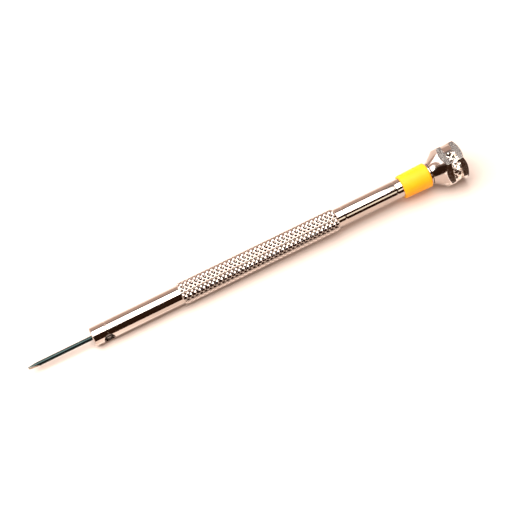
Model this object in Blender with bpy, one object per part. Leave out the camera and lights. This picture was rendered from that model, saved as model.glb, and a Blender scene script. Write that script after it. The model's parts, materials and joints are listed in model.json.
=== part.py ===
"""Watchmaker's screwdriver with a ball-race swivel head, lying at rest on a flat surface.

Every piece is modelled along the driver's axis, +X, with stations counted from the nose face.
An empty called "driver" then leans the whole tool onto its nose and one flat of its head,
and sets the origin at the middle of the bottom of its bounding box. Units are metres, +Z is up.
"""

from math import asin, atan2, cos, hypot, pi, radians, sin

import bmesh
import bpy
from mathutils import Matrix, Vector

MM = 0.001
MERGE = 1e-8

# Nose, grip and tail: one turned bar
BODY_DIAMETER = 4.0 * MM
NOSE_LENGTH = 19.5 * MM
KNURL_HEIGHT = 0.35 * MM
GRIP_LENGTH = 35.4 * MM
TAIL_LENGTH = 15.0 * MM
EDGE_CHAMFER = 0.2 * MM
GRIP_CHAMFER = 0.3 * MM
RING_GROOVE_WIDTH = 0.3 * MM
RING_GROOVE_DEPTH = 0.07 * MM
NOSE_GROOVE_STATION = 3.3 * MM
TAIL_GROOVE_FROM_GRIP = 1.7 * MM
TAIL_GROOVE_FROM_SLEEVE = 1.4 * MM

# Blade
BLADE_DIAMETER = 0.95 * MM
BLADE_REACH = 13.9 * MM
BLADE_SEAT_DEPTH = 8.0 * MM
BLADE_TIP_WIDTH = 0.8 * MM
BLADE_TIP_THICKNESS = 0.18 * MM
BLADE_POINT_LENGTH = 2.2 * MM
BLADE_END_CHAMFER = 0.1 * MM

# Set screw that clamps the blade
SCREW_STATION = 3.1 * MM
SCREW_DIAMETER = 2.3 * MM
SCREW_POINT_DIAMETER = 0.8 * MM
SCREW_POINT_LENGTH = 0.25 * MM
SCREW_SLOT_WIDTH = 0.32 * MM
SCREW_SLOT_DEPTH = 0.35 * MM
SCREW_SINK = 0.65 * MM
SCREW_RIM = 0.08 * MM
HOLE_OVERLAP = 0.19 * MM

# Colour sleeve
SLEEVE_LENGTH = 6.2 * MM
SLEEVE_FRONT_WALL = 0.49 * MM
SLEEVE_REAR_WALL = 0.64 * MM
SLEEVE_EDGE_RADIUS = 0.25 * MM

# Thrust collar, standing out past the tail
COLLAR_STEP = 0.3 * MM
COLLAR_THICKNESS = 0.45 * MM
COLLAR_EDGE_RADIUS = 0.15 * MM

# Swivel head, front to rear: flare, flats, knurled band, flats, chamfer
HEAD_ACROSS_FLATS = 8.1 * MM
FLARE_LENGTH = 2.95 * MM
FLARE_TURN = radians(18)
FRONT_FLATS_LENGTH = 0.8 * MM
KNURL_BAND_LENGTH = 1.9 * MM
KNURL_BAND_RELIEF = 0.1 * MM
REAR_FLATS_LENGTH = 0.85 * MM
REAR_CHAMFER_LENGTH = 0.65 * MM
HEAD_END_INSET = 0.1 * MM
DISH_RIM_WIDTH = 0.55 * MM
DISH_SLOPE_WIDTH = 1.9 * MM
DISH_SLOPE_TURN = radians(20)
DISH_DEPTH = 0.45 * MM
CORNER_ALLOWANCE = 0.07 * MM

# Spindle, its bush and its clip
SPINDLE_DIAMETER = 1.0 * MM
SPINDLE_IN_HEAD = 3.0 * MM
SPINDLE_END_CHAMFER = 0.12 * MM
SPINDLE_TAIL = 0.5 * MM
CLIP_GROOVE_DEPTH = 0.12 * MM
CLIP_OUTER_DIAMETER = 1.7 * MM
CLIP_THICKNESS = 0.2 * MM
CLIP_OPENING = radians(70)
WASHER_OUTER_DIAMETER = 1.6 * MM
WASHER_THICKNESS = 0.3 * MM
BUSH_LENGTH = 3.2 * MM

# Ball race: 1 mm bore, 3 mm outside, 1 mm wide
RACE_OUTER_DIAMETER = 3.0 * MM
RACE_WIDTH = 1.0 * MM
OUTER_LAND_DIAMETER = 2.44 * MM
INNER_LAND_DIAMETER = 1.66 * MM
BALL_DIAMETER = 0.5 * MM
BALL_COUNT = 7
CAGE_WALL = 0.2 * MM
CAGE_WIDTH = 0.8 * MM

# Clearances
PRESS_GAP = 0.01 * MM
RUNNING_GAP = 0.04 * MM
FACE_GAP = 0.05 * MM
BALL_GAP = 0.02 * MM
POCKET_GAP = 0.03 * MM
CARTRIDGE_END_GAP = 0.3 * MM

# Facets around each round piece, multiples of four so that a corner points straight down
BODY_SIDES = 40
HEAD_SIDES = 48
BORE_SIDES = 24
EDGE_STEPS = 3
FLARE_STEPS = 4
RACEWAY_STEPS = 4
CLIP_STEPS = 16
POCKET_SIDES = 12

# Radii and stations that follow from the sizes above
BODY_RADIUS = BODY_DIAMETER / 2
GRIP_RADIUS = BODY_RADIUS + KNURL_HEIGHT
COLLAR_RADIUS = BODY_RADIUS + COLLAR_STEP
BLADE_RADIUS = BLADE_DIAMETER / 2
SPINDLE_RADIUS = SPINDLE_DIAMETER / 2
HEAD_APOTHEM = HEAD_ACROSS_FLATS / 2
HEAD_CORNER_RADIUS = HEAD_APOTHEM / cos(pi / 6)
HEAD_BLANK_RADIUS = HEAD_CORNER_RADIUS + CORNER_ALLOWANCE
HEAD_END_RADIUS = HEAD_APOTHEM - HEAD_END_INSET
KNURL_BAND_START = FLARE_LENGTH + FRONT_FLATS_LENGTH
KNURL_BAND_END = KNURL_BAND_START + KNURL_BAND_LENGTH
REAR_CHAMFER_START = KNURL_BAND_END + REAR_FLATS_LENGTH
HEAD_LENGTH = REAR_CHAMFER_START + REAR_CHAMFER_LENGTH
BALL_RADIUS = BALL_DIAMETER / 2
BALL_PITCH_RADIUS = (OUTER_LAND_DIAMETER + INNER_LAND_DIAMETER) / 4
CARTRIDGE_BORE_RADIUS = RACE_OUTER_DIAMETER / 2 + PRESS_GAP
TAIL_CHAMFER = min(EDGE_CHAMFER, (BODY_RADIUS - CARTRIDGE_BORE_RADIUS) / 2)

GRIP_START = NOSE_LENGTH
GRIP_END = GRIP_START + GRIP_LENGTH
SLEEVE_START = GRIP_END + TAIL_LENGTH
SLEEVE_END = SLEEVE_START + SLEEVE_LENGTH
TAIL_END = SLEEVE_END
COLLAR_START = TAIL_END + FACE_GAP
HEAD_START = COLLAR_START + COLLAR_THICKNESS + FACE_GAP
BUSH_START = TAIL_END - BUSH_LENGTH
RACE_START = BUSH_START - FACE_GAP - RACE_WIDTH
WASHER_START = RACE_START - FACE_GAP - WASHER_THICKNESS
CLIP_START = WASHER_START - FACE_GAP - CLIP_THICKNESS
SPINDLE_START = CLIP_START - SPINDLE_TAIL
SPINDLE_END = HEAD_START + SPINDLE_IN_HEAD
CARTRIDGE_BORE_START = SPINDLE_START - CARTRIDGE_END_GAP
POCKET_GUIDE_LENGTH = 3 * CAGE_WALL


def make_material(name, colour, roughness, metallic):
    """A Principled material with one colour."""
    material = bpy.data.materials.new(name)
    material.use_nodes = True
    material.diffuse_color = (*colour, 1.0)
    shader = material.node_tree.nodes["Principled BSDF"]
    shader.inputs["Base Color"].default_value = (*colour, 1.0)
    shader.inputs["Roughness"].default_value = roughness
    shader.inputs["Metallic"].default_value = metallic
    return material


def add_object(name, bm, material, parent):
    """Turn a bmesh into a named object, smooth where its faces meet gently."""
    bmesh.ops.recalc_face_normals(bm, faces=bm.faces)
    mesh = bpy.data.meshes.new(name)
    bm.to_mesh(mesh)
    bm.free()
    mesh.shade_smooth()
    mesh.set_sharp_from_angle(angle=radians(30))
    if material is not None:
        mesh.materials.append(material)
    piece = bpy.data.objects.new(name, mesh)
    bpy.context.scene.collection.objects.link(piece)
    piece.parent = parent
    return piece


def turned_bmesh(outline, sides):
    """Spin a closed outline of (station, radius) points about X; edges on the axis are left out."""
    bm = bmesh.new()
    points = [bm.verts.new((station, 0.0, radius)) for station, radius in outline]
    edges = []
    for first, second in zip(points, points[1:] + points[:1]):
        if first.co.z > 0.0 or second.co.z > 0.0:
            edges.append(bm.edges.new((first, second)))
    bmesh.ops.spin(bm, geom=points + edges, axis=(1.0, 0.0, 0.0), angle=2 * pi, steps=sides, use_merge=True)
    bmesh.ops.remove_doubles(bm, verts=bm.verts, dist=MERGE)
    return bm


def turned(name, outline, sides, material, parent, station=0.0):
    """A solid of revolution placed at a station along the driver's axis."""
    piece = add_object(name, turned_bmesh(outline, sides), material, parent)
    piece.location.x = station
    return piece


def prism(name, corners, height, parent):
    """A guide solid: corners in the XY plane, extruded along Z and centred on it."""
    bm = bmesh.new()
    base = bm.faces.new([bm.verts.new((x, y, -height / 2)) for x, y in corners])
    top = bmesh.ops.extrude_face_region(bm, geom=[base])
    moved = [item for item in top["geom"] if isinstance(item, bmesh.types.BMVert)]
    bmesh.ops.translate(bm, verts=moved, vec=(0.0, 0.0, height))
    return add_object(name, bm, None, parent)


def shape_with(piece, guide, operation):
    """Cut or trim a piece with a guide solid."""
    modifier = piece.modifiers.new(guide.name, "BOOLEAN")
    modifier.operation = operation
    modifier.solver = "EXACT"
    modifier.object = guide
    guide.hide_render = True
    guide.display_type = "WIRE"


def arc(start, end, turn, steps):
    """Points after start on a circular arc to end; it turns left by turn, or right if negative."""
    heading = atan2(end[1] - start[1], end[0] - start[0]) - turn / 2
    step_turn = turn / steps
    span = hypot(end[0] - start[0], end[1] - start[1])
    chord = span * sin(step_turn / 2) / sin(turn / 2)
    x, r = start
    points = []
    for step in range(steps):
        direction = heading + step_turn * (step + 0.5)
        x += chord * cos(direction)
        r += chord * sin(direction)
        points.append((x, r))
    return points


def ring_groove(station):
    """Three outline points of a shallow V groove around the body."""
    half = RING_GROOVE_WIDTH / 2
    floor = BODY_RADIUS - RING_GROOVE_DEPTH
    return [(station - half, BODY_RADIUS), (station, floor), (station + half, BODY_RADIUS)]


def tube(length, outer, inner):
    """Outline of a plain ring or tube."""
    return [(0.0, inner), (0.0, outer), (length, outer), (length, inner)]


def make_barrel(material, parent):
    """Nose, grip and tail, bored for the blade in front and for the head's cartridge behind."""
    blade_bore = BLADE_RADIUS + RUNNING_GAP
    outline = [
        (BLADE_SEAT_DEPTH + FACE_GAP, 0.0),
        (BLADE_SEAT_DEPTH + FACE_GAP, blade_bore),
        (0.0, blade_bore),
        (0.0, BODY_RADIUS - EDGE_CHAMFER),
        (EDGE_CHAMFER, BODY_RADIUS),
        *ring_groove(NOSE_GROOVE_STATION),
        (GRIP_START, BODY_RADIUS),
        (GRIP_START + GRIP_CHAMFER, GRIP_RADIUS),
        (GRIP_END - GRIP_CHAMFER, GRIP_RADIUS),
        (GRIP_END, BODY_RADIUS),
        *ring_groove(GRIP_END + TAIL_GROOVE_FROM_GRIP),
        *ring_groove(SLEEVE_START - TAIL_GROOVE_FROM_SLEEVE),
        (TAIL_END - TAIL_CHAMFER, BODY_RADIUS),
        (TAIL_END, BODY_RADIUS - TAIL_CHAMFER),
        (TAIL_END, CARTRIDGE_BORE_RADIUS),
        (CARTRIDGE_BORE_START, CARTRIDGE_BORE_RADIUS),
        (CARTRIDGE_BORE_START, 0.0),
    ]
    barrel = turned("barrel", outline, BODY_SIDES, material, parent)
    hole = turned("screw_hole_guide", screw_hole_outline(), BORE_SIDES, None, parent)
    aim_at_screw(hole)
    shape_with(barrel, hole, "DIFFERENCE")


def screw_hole_outline():
    """Tapped hole, along +X from inside the blade's bore."""
    tapped = SCREW_DIAMETER / 2 + RUNNING_GAP
    inner_end = BLADE_RADIUS - HOLE_OVERLAP
    return [(inner_end, 0.0), (inner_end, tapped), (GRIP_RADIUS, tapped), (GRIP_RADIUS, 0.0)]


def aim_at_screw(piece):
    """Point a piece's +X out of the nose's side, along -Y, at the screw's station."""
    piece.location.x = SCREW_STATION
    piece.rotation_euler.z = -pi / 2


def make_set_screw(material, parent):
    """Slotted screw whose point bears on the blade."""
    radius = SCREW_DIAMETER / 2
    point_radius = SCREW_POINT_DIAMETER / 2
    foot = BLADE_RADIUS + RUNNING_GAP
    top = BODY_RADIUS - SCREW_SINK
    shoulder = foot + SCREW_POINT_LENGTH
    outline = [
        (foot, 0.0),
        (foot, point_radius),
        (shoulder, radius),
        (top - SCREW_RIM, radius),
        (top, radius - SCREW_RIM),
        (top, 0.0),
    ]
    screw = turned("blade_set_screw", outline, BORE_SIDES, material, parent)
    aim_at_screw(screw)
    half_slot = SCREW_SLOT_WIDTH / 2
    floor = top - SCREW_SLOT_DEPTH
    corners = [(floor, -half_slot), (BODY_RADIUS, -half_slot), (BODY_RADIUS, half_slot), (floor, half_slot)]
    slot = prism("screw_slot_guide", corners, 2 * SCREW_DIAMETER, screw)
    slot.rotation_euler.x = pi / 2
    shape_with(screw, slot, "DIFFERENCE")


def make_blade(material, parent):
    """Round blade, coned and then ground to a wedge with its flats facing +Y and -Y."""
    tip = -BLADE_REACH
    shoulder = tip + BLADE_POINT_LENGTH
    outline = [
        (tip, 0.0),
        (tip, BLADE_TIP_WIDTH / 2),
        (shoulder, BLADE_RADIUS),
        (BLADE_SEAT_DEPTH - BLADE_END_CHAMFER, BLADE_RADIUS),
        (BLADE_SEAT_DEPTH, BLADE_RADIUS - BLADE_END_CHAMFER),
        (BLADE_SEAT_DEPTH, 0.0),
    ]
    blade = turned("blade", outline, BORE_SIDES, material, parent)
    # The wedge's faces run past the tip and past the shank, so that only its flats cut
    slope = (BLADE_RADIUS - BLADE_TIP_THICKNESS / 2) / BLADE_POINT_LENGTH
    front_half = BLADE_TIP_THICKNESS / 2 - slope * BLADE_RADIUS
    back = BLADE_SEAT_DEPTH + BLADE_RADIUS
    wide = BLADE_DIAMETER
    widest = shoulder + (wide - BLADE_RADIUS) / slope
    upper = [(tip - BLADE_RADIUS, front_half), (widest, wide), (back, wide)]
    lower = [(x, -y) for x, y in reversed(upper)]
    wedge = prism("blade_wedge_guide", upper + lower, 2 * BLADE_DIAMETER, parent)
    shape_with(blade, wedge, "INTERSECT")


def make_sleeve(material, parent):
    """Plastic colour sleeve, slightly larger behind, with rounded edges."""
    bore = BODY_RADIUS + PRESS_GAP
    front = bore + SLEEVE_FRONT_WALL
    rear = bore + SLEEVE_REAR_WALL
    edge = SLEEVE_EDGE_RADIUS
    front_edge = arc((0.0, front - edge), (edge, front), -pi / 2, EDGE_STEPS)
    rear_edge = arc((SLEEVE_LENGTH - edge, rear), (SLEEVE_LENGTH, rear - edge), -pi / 2, EDGE_STEPS)
    outline = [
        (0.0, bore),
        (0.0, front - edge),
        *front_edge,
        (SLEEVE_LENGTH - edge, rear),
        *rear_edge,
        (SLEEVE_LENGTH, bore),
    ]
    turned("colour_sleeve", outline, BODY_SIDES, material, parent, SLEEVE_START)


def make_collar(material, parent):
    """Thrust collar between the tail and the head, with a rounded rim."""
    outer = COLLAR_RADIUS
    edge = COLLAR_EDGE_RADIUS
    bore = SPINDLE_RADIUS + RUNNING_GAP
    outline = [
        (0.0, bore),
        (0.0, outer - edge),
        *arc((0.0, outer - edge), (edge, outer), -pi / 2, EDGE_STEPS),
        (COLLAR_THICKNESS - edge, outer),
        *arc((COLLAR_THICKNESS - edge, outer), (COLLAR_THICKNESS, outer - edge), -pi / 2, EDGE_STEPS),
        (COLLAR_THICKNESS, bore),
    ]
    turned("thrust_collar", outline, BODY_SIDES, material, parent, COLLAR_START)


def flare_outline():
    """The head's trumpet, from its neck, as wide as the collar, out to the blank's full radius."""
    neck = (0.0, COLLAR_RADIUS)
    return [neck, *arc(neck, (FLARE_LENGTH, HEAD_BLANK_RADIUS), FLARE_TURN, FLARE_STEPS)]


def make_head(material, parent):
    """Turned trumpet and end, trimmed to six flats, with a round band left for the knurl."""
    band = HEAD_APOTHEM - KNURL_BAND_RELIEF
    dish = (HEAD_LENGTH, HEAD_END_RADIUS - DISH_RIM_WIDTH)
    dish_floor = (HEAD_LENGTH - DISH_DEPTH, dish[1] - DISH_SLOPE_WIDTH)
    bore = SPINDLE_RADIUS + PRESS_GAP
    outline = [
        (0.0, bore),
        *flare_outline(),
        (KNURL_BAND_START, HEAD_BLANK_RADIUS),
        (KNURL_BAND_START, band),
        (KNURL_BAND_END, band),
        (KNURL_BAND_END, HEAD_BLANK_RADIUS),
        (REAR_CHAMFER_START, HEAD_BLANK_RADIUS),
        (HEAD_LENGTH, HEAD_END_RADIUS),
        dish,
        *arc(dish, dish_floor, -DISH_SLOPE_TURN, EDGE_STEPS),
        (HEAD_LENGTH - DISH_DEPTH, 0.0),
        (SPINDLE_IN_HEAD + FACE_GAP, 0.0),
        (SPINDLE_IN_HEAD + FACE_GAP, bore),
    ]
    head = turned("swivel_head", outline, HEAD_SIDES, material, parent, HEAD_START)
    hexagon = []
    for corner in range(6):
        angle = corner * pi / 3
        hexagon.append((HEAD_CORNER_RADIUS * cos(angle), HEAD_CORNER_RADIUS * sin(angle)))
    flats = prism("head_flats_guide", hexagon, 4 * HEAD_LENGTH, head)
    # The prism's own Z goes along the driver; its first corner points along -Y, so a flat faces down
    flats.matrix_local = Matrix(((0, 0, 1, 0), (-1, 0, 0, 0), (0, -1, 0, 0), (0, 0, 0, 1)))
    shape_with(head, flats, "INTERSECT")


def make_spindle(material, parent):
    """Steel pin, pressed in the head, with a groove for its clip."""
    radius = SPINDLE_RADIUS
    length = SPINDLE_END - SPINDLE_START
    groove_start = SPINDLE_TAIL - BALL_GAP
    groove_end = SPINDLE_TAIL + CLIP_THICKNESS + BALL_GAP
    groove = radius - CLIP_GROOVE_DEPTH
    chamfer = SPINDLE_END_CHAMFER
    outline = [
        (0.0, 0.0),
        (0.0, radius - chamfer),
        (chamfer, radius),
        (groove_start, radius),
        (groove_start, groove),
        (groove_end, groove),
        (groove_end, radius),
        (length - chamfer, radius),
        (length, radius - chamfer),
        (length, 0.0),
    ]
    turned("head_spindle", outline, BORE_SIDES, material, parent, SPINDLE_START)


def make_clip(material, parent):
    """Open ring that snaps into the spindle's groove, its opening upwards."""
    inner = SPINDLE_RADIUS - CLIP_GROOVE_DEPTH + PRESS_GAP
    outline = tube(CLIP_THICKNESS, CLIP_OUTER_DIAMETER / 2, inner)
    bm = bmesh.new()
    section = bm.faces.new([bm.verts.new((x, 0.0, r)) for x, r in outline])
    turn = Matrix.Rotation(CLIP_OPENING / 2, 3, "X")
    bmesh.ops.rotate(bm, verts=section.verts, matrix=turn)
    sweep = 2 * pi - CLIP_OPENING
    bmesh.ops.spin(bm, geom=[section], axis=(1.0, 0.0, 0.0), angle=sweep, steps=CLIP_STEPS)
    clip = add_object("spindle_circlip", bm, material, parent)
    clip.location.x = CLIP_START


def make_races(material, parent):
    """Outer and inner rings, each with a round raceway for the balls."""
    raceway = BALL_RADIUS + BALL_GAP
    middle = RACE_WIDTH / 2
    outer_land = OUTER_LAND_DIAMETER / 2
    inner_land = INNER_LAND_DIAMETER / 2
    reach = outer_land - BALL_PITCH_RADIUS
    half_width = (raceway ** 2 - reach ** 2) ** 0.5
    turn = 2 * asin(half_width / raceway)
    outer_groove = arc((middle - half_width, outer_land), (middle + half_width, outer_land), -turn, RACEWAY_STEPS)
    outer = [
        (0.0, outer_land),
        (0.0, RACE_OUTER_DIAMETER / 2),
        (RACE_WIDTH, RACE_OUTER_DIAMETER / 2),
        (RACE_WIDTH, outer_land),
        (middle + half_width, outer_land),
        *reversed(outer_groove[:-1]),
        (middle - half_width, outer_land),
    ]
    turned("bearing_outer_race", outer, BORE_SIDES, material, parent, RACE_START)
    inner = [
        (0.0, SPINDLE_RADIUS + PRESS_GAP),
        (0.0, inner_land),
        (middle - half_width, inner_land),
        *arc((middle - half_width, inner_land), (middle + half_width, inner_land), turn, RACEWAY_STEPS),
        (RACE_WIDTH, inner_land),
        (RACE_WIDTH, SPINDLE_RADIUS + PRESS_GAP),
    ]
    turned("bearing_inner_race", inner, BORE_SIDES, material, parent, RACE_START)


def ball_angles():
    """Where the balls sit around the race."""
    return [2 * pi * ball / BALL_COUNT for ball in range(BALL_COUNT)]


def make_cage(material, parent):
    """Ring with one round pocket for each ball."""
    outline = tube(CAGE_WIDTH, BALL_PITCH_RADIUS + CAGE_WALL / 2, BALL_PITCH_RADIUS - CAGE_WALL / 2)
    cage = turned("bearing_cage", outline, 4 * BALL_COUNT, material, parent)
    cage.location.x = RACE_START + (RACE_WIDTH - CAGE_WIDTH) / 2
    for number, angle in enumerate(ball_angles(), start=1):
        bm = bmesh.new()
        pocket = BALL_RADIUS + POCKET_GAP
        bmesh.ops.create_cone(
            bm,
            cap_ends=True,
            segments=POCKET_SIDES,
            radius1=pocket,
            radius2=pocket,
            depth=POCKET_GUIDE_LENGTH,
            matrix=Matrix.Translation((0.0, 0.0, BALL_PITCH_RADIUS)),
        )
        guide = add_object(f"cage_pocket_guide_{number}", bm, None, cage)
        guide.location.x = CAGE_WIDTH / 2
        guide.rotation_euler.x = angle
        shape_with(cage, guide, "DIFFERENCE")


def make_balls(material, parent):
    """The race's balls, each an object of its own on one shared mesh."""
    bm = bmesh.new()
    bmesh.ops.create_icosphere(bm, subdivisions=2, radius=BALL_RADIUS)
    first = add_object("bearing_ball_1", bm, material, parent)
    middle = RACE_START + RACE_WIDTH / 2
    for number, angle in enumerate(ball_angles(), start=1):
        ball = first
        if number > 1:
            ball = bpy.data.objects.new(f"bearing_ball_{number}", first.data)
            bpy.context.scene.collection.objects.link(ball)
            ball.parent = parent
        ball.location = (middle, -BALL_PITCH_RADIUS * sin(angle), BALL_PITCH_RADIUS * cos(angle))


def flat_front():
    """Station where the trumpet first meets the middle of a flat."""
    points = flare_outline()
    for (x0, r0), (x1, r1) in zip(points, points[1:]):
        if r0 <= HEAD_APOTHEM <= r1:
            return HEAD_START + x0 + (x1 - x0) * (HEAD_APOTHEM - r0) / (r1 - r0)
    return HEAD_START + FLARE_LENGTH


def rest_angle():
    """Lean of the driver when its nose edge and one flat of its head touch the surface."""
    run = flat_front() - EDGE_CHAMFER
    return atan2(HEAD_APOTHEM - BODY_RADIUS, run)


def set_down(driver):
    """Lean the driver and move it so the origin is at the bottom middle of its box."""
    driver.rotation_euler.y = -rest_angle()
    bpy.context.view_layer.update()
    graph = bpy.context.evaluated_depsgraph_get()
    corners = []
    for piece in bpy.context.scene.objects:
        if piece.type == "MESH" and not piece.hide_render:
            shaped = piece.evaluated_get(graph)
            world = shaped.matrix_world
            corners.extend(world @ vertex.co for vertex in shaped.data.vertices)
    low = Vector([min(corner[axis] for corner in corners) for axis in range(3)])
    high = Vector([max(corner[axis] for corner in corners) for axis in range(3)])
    driver.location = (-(low.x + high.x) / 2, -(low.y + high.y) / 2, -low.z)


def build():
    """Make every piece under one empty on the driver's axis."""
    for old in list(bpy.data.objects):
        bpy.data.objects.remove(old, do_unlink=True)
    driver = bpy.data.objects.new("driver", None)
    bpy.context.scene.collection.objects.link(driver)

    nickel = make_material("nickel_plate", (0.78, 0.74, 0.70), 0.12, 1.0)
    chrome = make_material("chrome_plate", (0.72, 0.69, 0.67), 0.08, 1.0)
    blued = make_material("blued_steel", (0.05, 0.08, 0.08), 0.3, 1.0)
    steel = make_material("bright_steel", (0.55, 0.53, 0.50), 0.3, 1.0)
    yellow = make_material("yellow_plastic", (0.95, 0.60, 0.02), 0.35, 0.0)
    brass = make_material("bearing_brass", (0.78, 0.57, 0.25), 0.3, 1.0)

    make_barrel(nickel, driver)
    make_set_screw(steel, driver)
    make_blade(blued, driver)
    make_sleeve(yellow, driver)
    make_collar(chrome, driver)
    make_head(chrome, driver)
    make_spindle(steel, driver)
    make_clip(steel, driver)
    make_races(steel, driver)
    make_cage(brass, driver)
    make_balls(steel, driver)

    bush = tube(BUSH_LENGTH, RACE_OUTER_DIAMETER / 2, SPINDLE_RADIUS + RUNNING_GAP)
    turned("spindle_bush", bush, BORE_SIDES, brass, driver, BUSH_START)
    washer = tube(WASHER_THICKNESS, WASHER_OUTER_DIAMETER / 2, SPINDLE_RADIUS + PRESS_GAP)
    turned("spindle_washer", washer, BORE_SIDES, steel, driver, WASHER_START)

    set_down(driver)


build()
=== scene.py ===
"""Looks of the watchmaker's screwdriver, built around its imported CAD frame.

Each piece is modelled along the driver's own axis, +X, with stations counted from the nose face,
and then placed with the driver's lean, which is read from the frame's head joint. Units are metres.
"""

import json
from math import atan2, cos, hypot, pi, radians, sin, tan

import bmesh
import bpy
from mathutils import Matrix, Vector


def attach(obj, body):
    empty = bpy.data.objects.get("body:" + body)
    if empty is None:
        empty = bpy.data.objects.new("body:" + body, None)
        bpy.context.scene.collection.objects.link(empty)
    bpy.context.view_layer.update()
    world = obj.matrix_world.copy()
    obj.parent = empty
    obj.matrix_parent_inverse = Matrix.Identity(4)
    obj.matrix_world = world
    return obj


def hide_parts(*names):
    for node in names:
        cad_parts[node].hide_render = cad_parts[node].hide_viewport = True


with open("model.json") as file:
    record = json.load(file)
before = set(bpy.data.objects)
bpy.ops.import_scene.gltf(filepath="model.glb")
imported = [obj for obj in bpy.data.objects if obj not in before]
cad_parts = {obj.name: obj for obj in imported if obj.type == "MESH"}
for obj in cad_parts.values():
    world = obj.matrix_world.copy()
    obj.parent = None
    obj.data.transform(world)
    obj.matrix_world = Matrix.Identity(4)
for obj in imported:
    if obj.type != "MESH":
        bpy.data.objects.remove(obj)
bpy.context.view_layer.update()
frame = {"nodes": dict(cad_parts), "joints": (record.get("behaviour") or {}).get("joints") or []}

MM = 0.001
MERGE = 1e-8

# Sizes repeated from the CAD part
BODY_RADIUS = 2.0 * MM
GRIP_START = 19.5 * MM
GRIP_END = 54.9 * MM
GRIP_RADIUS = 2.35 * MM
EDGE_CHAMFER = 0.2 * MM
TAIL_CHAMFER = 0.2 * MM
GROOVE_WIDTH = 0.3 * MM
GROOVE_DEPTH = 0.07 * MM
GROOVE_STATIONS = (3.3 * MM, GRIP_END + 1.7 * MM, 68.5 * MM)
TAIL_END = 76.1 * MM
CARTRIDGE_BORE_START = 70.0 * MM
CARTRIDGE_BORE_RADIUS = 1.51 * MM
BLADE_RADIUS = 0.475 * MM
BLADE_REACH = 13.9 * MM
BLADE_SEAT = 8.0 * MM
BLADE_TIP_HALF_WIDTH = 0.4 * MM
BLADE_TIP_HALF_THICKNESS = 0.09 * MM
BLADE_POINT_LENGTH = 2.2 * MM
BLADE_HOLLOW_DEPTH = 0.035 * MM
BLADE_END_LENGTH = 0.1 * MM
BLADE_END_SHARE = 0.9
SCREW_STATION = 3.1 * MM
SCREW_RADIUS = 1.15 * MM
SCREW_POINT_RADIUS = 0.4 * MM
SCREW_TOP = 1.35 * MM
SCREW_RIM = 0.08 * MM
SCREW_FOOT_LENGTH = 0.25 * MM
HOLE_OVERLAP = 0.19 * MM
SCREW_SLOT_WIDTH = 0.32 * MM
SCREW_SLOT_DEPTH = 0.35 * MM
SLEEVE_START = 69.9 * MM
SLEEVE_LENGTH = 6.2 * MM
SLEEVE_FRONT_RADIUS = 2.5 * MM
SLEEVE_REAR_RADIUS = 2.65 * MM
SLEEVE_EDGE = 0.25 * MM
COLLAR_START = 76.15 * MM
COLLAR_RADIUS = 2.3 * MM
COLLAR_THICKNESS = 0.45 * MM
HEAD_START = 76.65 * MM
HEAD_LENGTH = 7.15 * MM
HEAD_APOTHEM = 4.05 * MM
HEAD_BLANK_RADIUS = HEAD_APOTHEM / cos(pi / 6) + 0.07 * MM
FLARE_LENGTH = 2.95 * MM
FLARE_TURN = radians(18)
BAND_START = 3.75 * MM
BAND_END = 5.65 * MM
REAR_CHAMFER_START = 6.5 * MM
HEAD_END_RADIUS = 3.95 * MM
DISH_RIM_RADIUS = 3.4 * MM
DISH_FLOOR_RADIUS = 1.5 * MM
DISH_DEPTH = 0.45 * MM
DISH_TURN = radians(20)
SPINDLE_RADIUS = 0.5 * MM
SPINDLE_IN_HEAD = 3.05 * MM
GAP = 0.04 * MM
PRESS_GAP = 0.01 * MM

# Knurls: cells around, cells along, depth from crest to pit, share of the depth left flat on top
GRIP_CELLS_AROUND = 14
GRIP_CELLS_ALONG = 36
GRIP_KNURL_DEPTH = 0.25 * MM
BAND_CELLS_AROUND = 16
BAND_CELLS_ALONG = 1.25
BAND_KNURL_DEPTH = 0.42 * MM
BAND_RELIEF = 0.03 * MM
BAND_SHOULDER = 0.02 * MM
CELL_STEPS = 8
BAND_ROWS = 20
CREST = 0.15

# Roundness of the shown meshes
HEAD_SIDES = BAND_CELLS_AROUND * 12
FINE_SIDES = 96
EDGE_STEPS = 4
FLARE_STEPS = 28
BLADE_STEPS = 24
EDGE_RADIUS = 0.05 * MM
SCREW_EDGE_RADIUS = 0.03 * MM
COLLAR_EDGE_RADIUS = 0.18 * MM
HEAD_EDGE_RADIUS = 0.06 * MM
CORNER_RADIUS = 0.12 * MM
BEVEL_WIDTH = 0.035 * MM
BEVEL_ANGLE = radians(28)
SHARP_ANGLE = radians(32)
CORNER_ANGLE = radians(15)

# Camera, in the driver's own axes
CAMERA_BACK = (-0.1271, -0.496, 0.859)
CAMERA_DISTANCE = 280 * MM
CAMERA_STATION = 36.73 * MM
CAMERA_DROP = 0.36 * MM
CAMERA_ROLL = radians(25.94)
CAMERA_LENS = 97.2

FLOOR_SIZE = 1.6
FLOOR_IN_FRONT = 0.105

# The room that the metal reflects: the camera's side, and behind the driver, low and high
ROOM_IN_FRONT = (0.045, 0.018, 0.009)
ROOM_BEHIND_LOW = (0.9, 0.66, 0.56)
ROOM_BEHIND_HIGH = (0.3, 0.26, 0.25)

# Grain of the finishes, per metre along X, Y and Z
MOTTLE_DENSITY = (260, 260, 260)
SCRATCH_DENSITY = (300, 9000, 700)
CROSS_SCRATCH_DENSITY = (8000, 500, 300)
TURNING_DENSITY = (9000, 160, 160)
MOULD_DENSITY = (2500, 2500, 2500)
FLOOR_DENSITY = (40, 40, 40)
# Share of the tarnish colour kept in recesses: painted shade that darkens the knurl pits nearly to
# black
PAINTED_SHADE_SHARE = 0.1


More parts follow.
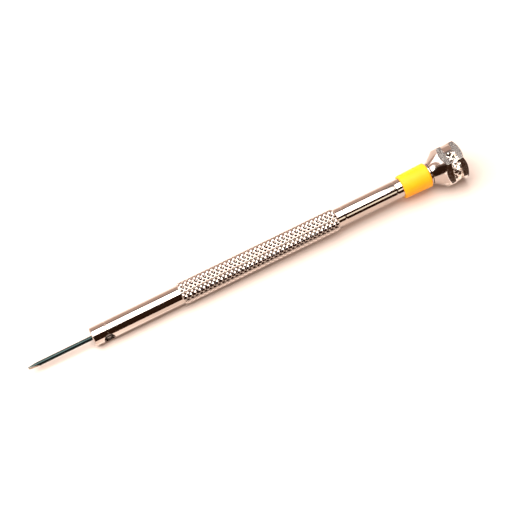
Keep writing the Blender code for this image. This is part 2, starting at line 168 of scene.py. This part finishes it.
def driver_matrix():
    """Place of the driver: the head's joint gives its axis and one station on it."""
    swivel = next(joint for joint in frame["joints"] if joint["name"] == "head_swivel")
    along = Vector(swivel["axis"]).normalized()
    across = Vector((0.0, 1.0, 0.0))
    above = along.cross(across)
    nose = Vector(swivel["pos_m"]) - along * HEAD_START
    return Matrix.Translation(nose) @ Matrix((along, across, above)).transposed().to_4x4()


DRIVER = driver_matrix()


# Mesh helpers

def arc(start, end, turn, steps):
    """Points after start on a circular arc to end; it turns left by turn, or right if negative."""
    heading = atan2(end[1] - start[1], end[0] - start[0]) - turn / 2
    step_turn = turn / steps
    span = hypot(end[0] - start[0], end[1] - start[1])
    chord = span * sin(step_turn / 2) / sin(turn / 2)
    x, r = start
    points = []
    for step in range(steps):
        direction = heading + step_turn * (step + 0.5)
        x += chord * cos(direction)
        r += chord * sin(direction)
        points.append((x, r))
    return points


def softened(outline, radius=EDGE_RADIUS, steps=EDGE_STEPS):
    """The closed outline with every clear corner off the axis replaced by a small arc."""
    points = []
    count = len(outline)
    for index, corner in enumerate(outline):
        before = Vector(outline[index - 1])
        after = Vector(outline[(index + 1) % count])
        here = Vector(corner)
        arriving = (here - before).normalized()
        leaving = (after - here).normalized()
        turn = atan2(arriving.cross(leaving), arriving.dot(leaving))
        if corner[1] < MERGE or abs(turn) < CORNER_ANGLE:
            points.append(corner)
            continue
        room = 0.45 * min((here - before).length, (after - here).length)
        reach = min(radius * tan(abs(turn) / 2), room)
        start = here - arriving * reach
        end = here + leaving * reach
        points.append(tuple(start))
        points.extend(arc(tuple(start), tuple(end), turn, steps))
    return points


def turned_bmesh(outline, sides):
    """Spin a closed outline of (station, radius) points about X; edges on the axis are left out."""
    bm = bmesh.new()
    points = [bm.verts.new((station, 0.0, radius)) for station, radius in outline]
    edges = []
    for first, second in zip(points, points[1:] + points[:1]):
        if first.co.z > 0.0 or second.co.z > 0.0:
            edges.append(bm.edges.new((first, second)))
    around_x = (1.0, 0.0, 0.0)
    profile = points + edges
    bmesh.ops.spin(bm, geom=profile, axis=around_x, angle=2 * pi, steps=sides, use_merge=True)
    bmesh.ops.remove_doubles(bm, verts=bm.verts, dist=MERGE)
    return bm


def skinned_bmesh(rings):
    """Skin rings of equal length, with a cap at each end."""
    bm = bmesh.new()
    loops = [[bm.verts.new(point) for point in ring] for ring in rings]
    for lower, upper in zip(loops, loops[1:]):
        for index in range(len(lower)):
            bm.faces.new((lower[index - 1], lower[index], upper[index], upper[index - 1]))
    bm.faces.new(loops[0])
    bm.faces.new(loops[-1])
    bmesh.ops.remove_doubles(bm, verts=bm.verts, dist=MERGE)
    return bm


def new_object(name, bm):
    """Turn a bmesh into an object."""
    bmesh.ops.recalc_face_normals(bm, faces=bm.faces)
    mesh = bpy.data.meshes.new(name)
    bm.to_mesh(mesh)
    bm.free()
    piece = bpy.data.objects.new(name, mesh)
    bpy.context.scene.collection.objects.link(piece)
    return piece


def carve(piece, guide, operation):
    """Cut or trim a piece with a guide solid, which is then removed."""
    modifier = piece.modifiers.new("carve", "BOOLEAN")
    modifier.operation = operation
    modifier.solver = "EXACT"
    modifier.object = guide
    settle_modifiers(piece)
    bpy.data.objects.remove(guide)


def settle_modifiers(piece):
    """Make the result of a piece's modifiers its mesh."""
    bpy.context.view_layer.update()
    evaluated = piece.evaluated_get(bpy.context.evaluated_depsgraph_get())
    mesh = bpy.data.meshes.new_from_object(evaluated)
    piece.modifiers.clear()
    piece.data = mesh


def smooth(piece):
    """Shade a piece smooth where its faces meet gently."""
    piece.data.shade_smooth()
    piece.data.set_sharp_from_angle(angle=SHARP_ANGLE)


def show(piece, body, node, slot, *materials):
    """Place a shaded piece on the driver, and let it stand for its CAD node."""
    piece.data.transform(DRIVER)
    piece.data.materials.clear()
    for material in materials:
        piece.data.materials.append(material)
    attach(piece, body)
    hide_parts(node)
    return piece


# Knurling

def knurl_height(along, around):
    """Height, 0 to 1, of a diamond knurl at a place counted in cells."""
    falling = (along + around) % 1.0
    rising = (along - around) % 1.0
    slope = 2 * min(falling, 1 - falling, rising, 1 - rising)
    return min(slope / (1 - CREST), 1.0)


def knurl(bm, span, crest, depth, cells, end_height):
    """Press a diamond knurl into the outside of a turned bmesh between two stations.

    Cells are counted around and along; the knurl rises from end_height at both ends.
    """
    start, end = span
    cells_around, cells_along = cells
    for vertex in bm.verts:
        station = vertex.co.x
        radius = hypot(vertex.co.y, vertex.co.z)
        if not start - MERGE < station < end + MERGE or radius < crest - MERGE:
            continue
        along = (station - start) / (end - start) * cells_along
        around = atan2(vertex.co.z, vertex.co.y) / (2 * pi) * cells_around
        level = crest - depth * (1 - knurl_height(along, around))
        margin = min(station - start, end - station)
        level = min(level, end_height + margin)
        vertex.co.y *= level / radius
        vertex.co.z *= level / radius


# Pieces

def ring_groove(station):
    """Three outline points of a shallow V groove around the body."""
    half = GROOVE_WIDTH / 2
    return [
        (station - half, BODY_RADIUS),
        (station, BODY_RADIUS - GROOVE_DEPTH),
        (station + half, BODY_RADIUS),
    ]


def screw_hole_outline():
    """Tapped hole, along +X out of the nose's side."""
    inner_end = BLADE_RADIUS - HOLE_OVERLAP
    tapped = SCREW_RADIUS + GAP
    return [(inner_end, 0.0), (inner_end, tapped), (GRIP_RADIUS, tapped), (GRIP_RADIUS, 0.0)]


AT_SCREW = Matrix.Translation((SCREW_STATION, 0.0, 0.0)) @ Matrix.Rotation(-pi / 2, 4, "Z")


def build_barrel(material):
    """Nose, knurled grip and tail: one turned bar with softened edges and real knurling."""
    front = [
        (BLADE_SEAT + GAP, 0.0),
        (BLADE_SEAT + GAP, BLADE_RADIUS + GAP),
        (0.0, BLADE_RADIUS + GAP),
        (0.0, BODY_RADIUS - EDGE_CHAMFER),
        (EDGE_CHAMFER, BODY_RADIUS),
        *ring_groove(GROOVE_STATIONS[0]),
        (GRIP_START - EDGE_RADIUS, BODY_RADIUS),
    ]
    rows = GRIP_CELLS_ALONG * CELL_STEPS
    pitch = (GRIP_END - GRIP_START) / rows
    grip = [(GRIP_START + row * pitch, GRIP_RADIUS) for row in range(rows + 1)]
    rear = [
        (GRIP_END + EDGE_RADIUS, BODY_RADIUS),
        *ring_groove(GROOVE_STATIONS[1]),
        *ring_groove(GROOVE_STATIONS[2]),
        (TAIL_END - TAIL_CHAMFER, BODY_RADIUS),
        (TAIL_END, BODY_RADIUS - TAIL_CHAMFER),
        (TAIL_END, CARTRIDGE_BORE_RADIUS),
        (CARTRIDGE_BORE_START, CARTRIDGE_BORE_RADIUS),
        (CARTRIDGE_BORE_START, 0.0),
    ]
    plain = softened(front + rear)
    split = 1 + max(index for index, point in enumerate(plain) if point[0] < GRIP_START)
    outline = plain[:split] + grip + plain[split:]
    bm = turned_bmesh(outline, GRIP_CELLS_AROUND * CELL_STEPS)
    cells = (GRIP_CELLS_AROUND, GRIP_CELLS_ALONG)
    knurl(bm, (GRIP_START, GRIP_END), GRIP_RADIUS, GRIP_KNURL_DEPTH, cells, BODY_RADIUS)
    barrel = new_object("barrel_turned", bm)
    hole = new_object("screw_hole", turned_bmesh(softened(screw_hole_outline()), FINE_SIDES))
    hole.data.transform(AT_SCREW)
    carve(barrel, hole, "DIFFERENCE")
    smooth(barrel)
    show(barrel, "barrel", "barrel", "nickel_plate", material)


def build_set_screw(material):
    """Slotted screw sunk in the nose's side."""
    foot = BLADE_RADIUS + GAP
    outline = [
        (foot, 0.0),
        (foot, SCREW_POINT_RADIUS),
        (foot + SCREW_FOOT_LENGTH, SCREW_RADIUS),
        (SCREW_TOP - SCREW_RIM, SCREW_RADIUS),
        (SCREW_TOP, SCREW_RADIUS - SCREW_RIM),
        (SCREW_TOP, 0.0),
    ]
    rounded = softened(outline, SCREW_EDGE_RADIUS)
    screw = new_object("screw_slotted", turned_bmesh(rounded, FINE_SIDES))
    half = SCREW_SLOT_WIDTH / 2
    floor = SCREW_TOP - SCREW_SLOT_DEPTH
    top = 1.5 * SCREW_TOP
    slot_section = [(floor, -half), (top, -half), (top, half), (floor, half)]
    ends = (-2 * SCREW_RADIUS, 2 * SCREW_RADIUS)
    slot_rings = [[(x, end, z) for x, z in slot_section] for end in ends]
    slot = new_object("slot", skinned_bmesh(slot_rings))
    carve(screw, slot, "DIFFERENCE")
    screw.data.transform(AT_SCREW)
    smooth(screw)
    show(screw, "set_screw", "blade_set_screw", "bright_steel", material)


def blade_section(station):
    """One ring of the blade: a circle, coned and ground flat towards the tip."""
    tip = -BLADE_REACH
    share = min(max((station - tip) / BLADE_POINT_LENGTH, 0.0), 1.0)
    radius = BLADE_TIP_HALF_WIDTH + share * (BLADE_RADIUS - BLADE_TIP_HALF_WIDTH)
    hollow = BLADE_HOLLOW_DEPTH * sin(pi * share)
    half = BLADE_TIP_HALF_THICKNESS + share * (BLADE_RADIUS - BLADE_TIP_HALF_THICKNESS)
    half -= hollow
    if share >= 1.0:
        half = 2 * BLADE_RADIUS
    ring = []
    for side in range(FINE_SIDES):
        angle = 2 * pi * (side + 0.5) / FINE_SIDES
        y = min(max(radius * cos(angle), -half), half)
        ring.append((station, y, radius * sin(angle)))
    return ring


def build_blade(blued, ground):
    """Round blade with two hollow-ground flats facing +Y and -Y."""
    tip = -BLADE_REACH
    shoulder = tip + BLADE_POINT_LENGTH
    point_step = BLADE_POINT_LENGTH / BLADE_STEPS
    shank_step = (BLADE_SEAT - shoulder) / BLADE_STEPS
    stations = [tip + point_step * step for step in range(BLADE_STEPS + 1)]
    stations += [shoulder + shank_step * step for step in range(1, BLADE_STEPS)]
    rings = [blade_section(station) for station in stations]
    rings.append(blade_section(BLADE_SEAT - BLADE_END_LENGTH))
    rings.append([(BLADE_SEAT, BLADE_END_SHARE * y, BLADE_END_SHARE * z) for _, y, z in rings[-1]])
    blade = new_object("blade_ground", skinned_bmesh(rings))
    smooth(blade)
    show(blade, "blade", "blade", "blued_steel", blued, ground)
    side = Vector((0.0, 1.0, 0.0))
    for face in blade.data.polygons:
        station = (DRIVER.inverted() @ face.center).x
        ground_flat = station < shoulder + point_step and abs(face.normal.dot(side)) > 0.9
        if ground_flat or station < tip + MERGE:
            face.material_index = 1


def build_sleeve(material):
    """Moulded colour sleeve, slightly larger behind, with rounded edges."""
    edge = SLEEVE_EDGE
    front = SLEEVE_FRONT_RADIUS
    rear = SLEEVE_REAR_RADIUS
    bore = BODY_RADIUS + PRESS_GAP
    outline = [
        (0.0, bore + EDGE_RADIUS),
        (0.0, front - edge),
        *arc((0.0, front - edge), (edge, front), -pi / 2, 2 * EDGE_STEPS),
        (SLEEVE_LENGTH - edge, rear),
        *arc((SLEEVE_LENGTH - edge, rear), (SLEEVE_LENGTH, rear - edge), -pi / 2, 2 * EDGE_STEPS),
        (SLEEVE_LENGTH, bore + EDGE_RADIUS),
        (SLEEVE_LENGTH - EDGE_RADIUS, bore),
        (EDGE_RADIUS, bore),
    ]
    sleeve = new_object("sleeve_moulded", turned_bmesh(outline, FINE_SIDES))
    sleeve.data.transform(Matrix.Translation((SLEEVE_START, 0.0, 0.0)))
    smooth(sleeve)
    show(sleeve, "barrel", "colour_sleeve", "yellow_plastic", material)


def build_collar(material):
    """Thrust collar with a fully rounded rim."""
    bore = SPINDLE_RADIUS + GAP
    outline = [
        (0.0, bore),
        (0.0, COLLAR_RADIUS),
        (COLLAR_THICKNESS, COLLAR_RADIUS),
        (COLLAR_THICKNESS, bore),
    ]
    rounded = softened(outline, COLLAR_EDGE_RADIUS, 2 * EDGE_STEPS)
    collar = new_object("collar_polished", turned_bmesh(rounded, FINE_SIDES))
    collar.data.transform(Matrix.Translation((COLLAR_START, 0.0, 0.0)))
    smooth(collar)
    show(collar, "head", "thrust_collar", "chrome_plate", material)


def hexagon_ring(station):
    """One ring of the hexagon that trims the head, with rounded corners and one of them towards -Y."""
    ring = []
    steps = EDGE_STEPS
    reach = HEAD_APOTHEM / cos(pi / 6) - CORNER_RADIUS / cos(pi / 6)
    for corner in range(6):
        middle = corner * pi / 3
        for step in range(steps + 1):
            angle = middle + radians(60) * (step / steps - 0.5)
            y = reach * cos(middle) + CORNER_RADIUS * cos(angle)
            z = reach * sin(middle) + CORNER_RADIUS * sin(angle)
            ring.append((station, -y, -z))
    return ring


def build_head(material):
    """Trumpet-shaped head with six flats, a knurled ring and a dished end."""
    neck = (0.0, COLLAR_RADIUS)
    pitch = (BAND_END - BAND_START) / BAND_ROWS
    crest = HEAD_APOTHEM - BAND_RELIEF
    band = [(BAND_START + row * pitch, crest) for row in range(BAND_ROWS + 1)]
    dish_rim = (HEAD_LENGTH, DISH_RIM_RADIUS)
    dish_floor = (HEAD_LENGTH - DISH_DEPTH, DISH_FLOOR_RADIUS)
    bore = SPINDLE_RADIUS + PRESS_GAP
    outline = [
        (0.0, bore),
        neck,
        *arc(neck, (FLARE_LENGTH, HEAD_BLANK_RADIUS), FLARE_TURN, FLARE_STEPS),
        (BAND_START - BAND_SHOULDER, HEAD_BLANK_RADIUS),
        *band,
        (BAND_END + BAND_SHOULDER, HEAD_BLANK_RADIUS),
        (REAR_CHAMFER_START, HEAD_BLANK_RADIUS),
        (HEAD_LENGTH, HEAD_END_RADIUS),
        dish_rim,
        *arc(dish_rim, dish_floor, -DISH_TURN, 2 * EDGE_STEPS),
        (HEAD_LENGTH - DISH_DEPTH, 0.0),
        (SPINDLE_IN_HEAD, 0.0),
        (SPINDLE_IN_HEAD, bore),
    ]
    bm = turned_bmesh(softened(outline, HEAD_EDGE_RADIUS), HEAD_SIDES)
    cells = (BAND_CELLS_AROUND, BAND_CELLS_ALONG)
    knurl(bm, (BAND_START, BAND_END), crest, BAND_KNURL_DEPTH, cells, crest - BAND_KNURL_DEPTH)
    head = new_object("head_trumpet", bm)
    ends = (-HEAD_LENGTH, 2 * HEAD_LENGTH)
    hexagon = new_object("hexagon", skinned_bmesh([hexagon_ring(end) for end in ends]))
    carve(head, hexagon, "INTERSECT")
    smooth(head)
    bevel = head.modifiers.new("bevel", "BEVEL")
    bevel.harden_normals = True
    bevel.limit_method = "ANGLE"
    bevel.angle_limit = BEVEL_ANGLE
    bevel.width = BEVEL_WIDTH
    bevel.segments = 2
    settle_modifiers(head)
    head.data.transform(Matrix.Translation((HEAD_START, 0.0, 0.0)))
    show(head, "head", "swivel_head", "chrome_plate", material)


# Materials

def add_node(tree, kind, settings=(), **sockets):
    """A shader node with its settings and unlinked socket values."""
    node = tree.nodes.new(kind)
    for name, value in settings:
        setattr(node, name, value)
    for name, value in sockets.items():
        node.inputs[name.replace("_", " ")].default_value = value
    return node


def grain_of(tree, density, turn=0.0, detail=4.0):
    """Noise on the piece itself, with its own density per metre along X, Y and Z."""
    place = add_node(tree, "ShaderNodeTexCoord")
    stretch = add_node(tree, "ShaderNodeMapping", Scale=density, Rotation=(0.3 * turn, turn, turn))
    noise = add_node(tree, "ShaderNodeTexNoise", Scale=1.0, Detail=detail, Roughness=0.6)
    tree.links.new(place.outputs["Object"], stretch.inputs["Vector"])
    tree.links.new(stretch.outputs["Vector"], noise.inputs["Vector"])
    return noise.outputs["Fac"]


def spread(tree, value, low, high, to_low, to_high):
    """Map a value's range onto another one."""
    ranges = {"From_Min": low, "From_Max": high, "To_Min": to_low, "To_Max": to_high}
    node = add_node(tree, "ShaderNodeMapRange", **ranges)
    tree.links.new(value, node.inputs["Value"])
    return node.outputs["Result"]


def blend_colours(tree, factor, first, second):
    """Mix two colours, each one a tuple or an output, by a factor."""
    node = add_node(tree, "ShaderNodeMix", [("data_type", "RGBA")])
    tree.links.new(factor, node.inputs["Factor"])
    for socket, colour in ((node.inputs[6], first), (node.inputs[7], second)):
        if isinstance(colour, tuple):
            socket.default_value = (*colour, 1.0)
        else:
            tree.links.new(colour, socket)
    return node.outputs[2]


def relief(tree, height, distance, strength, below=None):
    """Bump from a height, on top of another bump if there is one."""
    node = add_node(tree, "ShaderNodeBump", Strength=strength, Distance=distance)
    tree.links.new(height, node.inputs["Height"])
    if below is not None:
        tree.links.new(below, node.inputs["Normal"])
    return node.outputs["Normal"]


def finished(name, colour, tarnish, worn, roughness, metallic=1.0, lines=TURNING_DENSITY, depth=0.1):
    """A material with mottled colour, worn edges, painted shade in its recesses, tool lines and fine
    scratches.
    """
    material = bpy.data.materials.new(name)
    material.use_nodes = True
    tree = material.node_tree
    shader = tree.nodes["Principled BSDF"]
    shader.inputs["Metallic"].default_value = metallic
    mottle = spread(tree, grain_of(tree, MOTTLE_DENSITY), 0.35, 0.7, 0.0, 1.0)
    tool_lines = grain_of(tree, lines, detail=2.0)
    scratch_grain = grain_of(tree, SCRATCH_DENSITY, turn=0.7, detail=1.0)
    scratches = spread(tree, scratch_grain, 0.68, 0.74, 0.0, 1.0)
    cross_grain = grain_of(tree, CROSS_SCRATCH_DENSITY, turn=-0.5, detail=1.0)
    cross_scratches = spread(tree, cross_grain, 0.7, 0.76, 0.0, 1.0)
    geometry = add_node(tree, "ShaderNodeNewGeometry")
    edges = spread(tree, geometry.outputs["Pointiness"], 0.52, 0.6, 0.0, 1.0)
    # Painted shade: recesses such as the knurl pits and groove bottoms turn nearly black, standing in
    # for the shade that falls in them
    hollow_shade_mask = spread(tree, geometry.outputs["Pointiness"], 0.42, 0.485, 1.0, 0.0)
    painted_shade = tuple(PAINTED_SHADE_SHARE * channel for channel in tarnish)
    tone = blend_colours(tree, mottle, colour, tarnish)
    tone = blend_colours(tree, hollow_shade_mask, tone, painted_shade)
    tree.links.new(blend_colours(tree, edges, tone, worn), shader.inputs["Base Color"])
    gloss = spread(tree, mottle, 0.0, 1.0, roughness, roughness * 1.5)
    scuff = add_node(tree, "ShaderNodeMath", [("operation", "MULTIPLY_ADD")])
    tree.links.new(scratches, scuff.inputs[0])
    scuff.inputs[1].default_value = 0.06
    tree.links.new(gloss, scuff.inputs[2])
    tree.links.new(scuff.outputs[0], shader.inputs["Roughness"])
    bump = relief(tree, tool_lines, 0.004 * MM, depth)
    bump = relief(tree, scratches, -0.002 * MM, 0.15, bump)
    bump = relief(tree, cross_scratches, -0.002 * MM, 0.15, bump)
    tree.links.new(bump, shader.inputs["Normal"])
    return material


def moulded_plastic(name, colour, shade, scuffed):
    """Satin coloured plastic with faint mould texture and lighter rims."""
    material = finished(name, colour, shade, scuffed, 0.38, 0.0, MOULD_DENSITY, 0.25)
    shader = material.node_tree.nodes["Principled BSDF"]
    shader.inputs["Specular IOR Level"].default_value = 0.25
    shader.inputs["Subsurface Weight"].default_value = 0.15
    shader.inputs["Subsurface Radius"].default_value = (0.4 * MM, 0.2 * MM, 0.05 * MM)
    return material


def dress_hidden_nodes(steel, bearing_steel, brass):
    """Pieces inside the tail keep their CAD shape and get their own finish."""
    finishes = {
        "head_spindle": steel,
        "spindle_washer": steel,
        "spindle_circlip": steel,
        "spindle_bush": brass,
        "bearing_cage": brass,
    }
    for name, node in frame["nodes"].items():
        if name.startswith("bearing_") and name not in finishes:
            finishes[name] = bearing_steel
        if name in finishes:
            node.data.materials.clear()
            node.data.materials.append(finishes[name])


# Studio

def build_floor():
    """A wide pale sheet under the driver, its near edge just outside the camera's view."""
    bm = bmesh.new()
    bmesh.ops.create_grid(bm, x_segments=8, y_segments=8, size=FLOOR_SIZE / 2)
    bmesh.ops.translate(bm, verts=bm.verts, vec=(0.0, FLOOR_SIZE / 2 - FLOOR_IN_FRONT, 0.0))
    floor = new_object("floor", bm)
    material = bpy.data.materials.new("pale_floor")
    material.use_nodes = True
    tree = material.node_tree
    shader = tree.nodes["Principled BSDF"]
    grain = grain_of(tree, FLOOR_DENSITY)
    tone = blend_colours(tree, grain, (0.63, 0.54, 0.485), (0.61, 0.52, 0.465))
    tree.links.new(tone, shader.inputs["Base Color"])
    shader.inputs["Roughness"].default_value = 0.85
    shader.inputs["Specular IOR Level"].default_value = 0.2
    floor.data.materials.append(material)


def area_light(name, place, target, width, length, power, colour, swing=0.0):
    """A soft rectangular light facing its target, its long side swung away from X."""
    light = bpy.data.lights.new(name, "AREA")
    light.shape = "RECTANGLE"
    light.size = length
    light.size_y = width
    light.energy = power
    light.color = colour
    lamp = bpy.data.objects.new(name, light)
    bpy.context.scene.collection.objects.link(lamp)
    facing = (Vector(place) - Vector(target)).normalized()
    long_side = Vector((cos(swing), sin(swing), 0.0))
    long_side = (long_side - facing * long_side.dot(facing)).normalized()
    short_side = facing.cross(long_side)
    turn = Matrix((long_side, short_side, facing)).transposed().to_4x4()
    lamp.matrix_world = Matrix.Translation(place) @ turn
    return lamp


def build_world():
    """A dim warm room, darker on the camera's side, with a white backdrop behind everything."""
    world = bpy.data.worlds.new("room")
    bpy.context.scene.world = world
    world.use_nodes = True
    tree = world.node_tree
    place = add_node(tree, "ShaderNodeTexCoord")
    split = add_node(tree, "ShaderNodeSeparateXYZ")
    tree.links.new(place.outputs["Generated"], split.inputs[0])
    back = spread(tree, split.outputs["Y"], -0.1, 0.2, 0.0, 1.0)
    high = spread(tree, split.outputs["Z"], 0.6, 0.68, 0.0, 1.0)
    behind = blend_colours(tree, high, ROOM_BEHIND_LOW, ROOM_BEHIND_HIGH)
    room = blend_colours(tree, back, ROOM_IN_FRONT, behind)
    dim = tree.nodes["Background"]
    tree.links.new(room, dim.inputs["Color"])
    bright = add_node(tree, "ShaderNodeBackground", Color=(1.0, 1.0, 1.0, 1.0))
    path = add_node(tree, "ShaderNodeLightPath")
    choose = add_node(tree, "ShaderNodeMixShader")
    tree.links.new(path.outputs["Is Camera Ray"], choose.inputs["Fac"])
    tree.links.new(dim.outputs["Background"], choose.inputs[1])
    tree.links.new(bright.outputs["Background"], choose.inputs[2])
    tree.links.new(choose.outputs["Shader"], tree.nodes["World Output"].inputs["Surface"])


def build_camera():
    """A rolled camera that looks down at the driver with a hexagon corner towards it."""
    turn = DRIVER.to_3x3()
    back = (turn @ Vector(CAMERA_BACK)).normalized()
    axis = turn.col[0]
    along = (axis - back * axis.dot(back)).normalized()
    above = back.cross(along)
    right = cos(CAMERA_ROLL) * along - sin(CAMERA_ROLL) * above
    top = sin(CAMERA_ROLL) * along + cos(CAMERA_ROLL) * above
    target = DRIVER @ Vector((CAMERA_STATION, 0.0, 0.0)) + CAMERA_DROP * above
    data = bpy.data.cameras.new("camera")
    data.lens = CAMERA_LENS
    data.clip_start = 10 * MM
    camera = bpy.data.objects.new("camera", data)
    bpy.context.scene.collection.objects.link(camera)
    facing = Matrix((right, top, back)).transposed().to_4x4()
    camera.matrix_world = Matrix.Translation(target + CAMERA_DISTANCE * back) @ facing
    bpy.context.scene.camera = camera


nickel = finished(
    "nickel_plate", colour=(0.50, 0.43, 0.385), tarnish=(0.45, 0.385, 0.345),
    worn=(0.82, 0.75, 0.70), roughness=0.07,
)
chrome = finished(
    "chrome_plate", colour=(0.50, 0.43, 0.39), tarnish=(0.44, 0.375, 0.34),
    worn=(0.85, 0.80, 0.75), roughness=0.08, depth=0.3,
)
blued = finished(
    "blued_steel", colour=(0.030, 0.046, 0.044), tarnish=(0.020, 0.031, 0.030),
    worn=(0.16, 0.2, 0.19), roughness=0.07, depth=0.3,
)
ground_steel = finished(
    "ground_steel", colour=(0.36, 0.29, 0.24), tarnish=(0.25, 0.20, 0.17),
    worn=(0.6, 0.55, 0.5), roughness=0.3, depth=0.5,
)
steel = finished(
    "bright_steel", colour=(0.075, 0.062, 0.056), tarnish=(0.05, 0.04, 0.036),
    worn=(0.36, 0.33, 0.30), roughness=0.2, depth=0.4,
)
bearing_steel = finished(
    "bearing_steel", colour=(0.72, 0.71, 0.70), tarnish=(0.62, 0.61, 0.60),
    worn=(0.85, 0.84, 0.83), roughness=0.08,
)
brass = finished(
    "bearing_brass", colour=(0.75, 0.55, 0.22), tarnish=(0.60, 0.42, 0.16),
    worn=(0.88, 0.70, 0.36), roughness=0.2, depth=0.3,
)
yellow = moulded_plastic("yellow_plastic", (0.97, 0.40, 0.006), (0.93, 0.36, 0.005), (0.98, 0.5, 0.03))

build_barrel(nickel)
build_set_screw(steel)
build_blade(blued, ground_steel)
build_sleeve(yellow)
build_collar(chrome)
build_head(chrome)
dress_hidden_nodes(steel, bearing_steel, brass)

build_floor()
build_world()
area_light(
    "overhead_softbox", place=(-0.23, 0.075, 0.5), target=(-0.23, 0.075, 0.0),
    width=0.53, length=0.79, power=9.5, colour=(1.0, 0.98, 0.96),
)
area_light(
    "left_window", place=(-0.64, 0.36, 0.2), target=(0.04, 0.0, 0.0),
    width=0.32, length=0.68, power=2.2, colour=(1.0, 0.99, 0.98), swing=radians(62),
)
area_light(
    "front_strip", place=(0.18, -0.47, 0.35), target=(0.02, 0.0, 0.0),
    width=0.17, length=0.24, power=0.25, colour=(1.0, 0.93, 0.78),
)
fill = area_light(
    "warm_fill", place=(0.1, -0.5, 0.6), target=(0.0, 0.0, 0.0),
    width=0.8, length=1.0, power=3.0, colour=(1.0, 0.76, 0.67),
)
fill.visible_glossy = False
build_camera()

scene = bpy.context.scene
scene.view_settings.view_transform = "Standard"
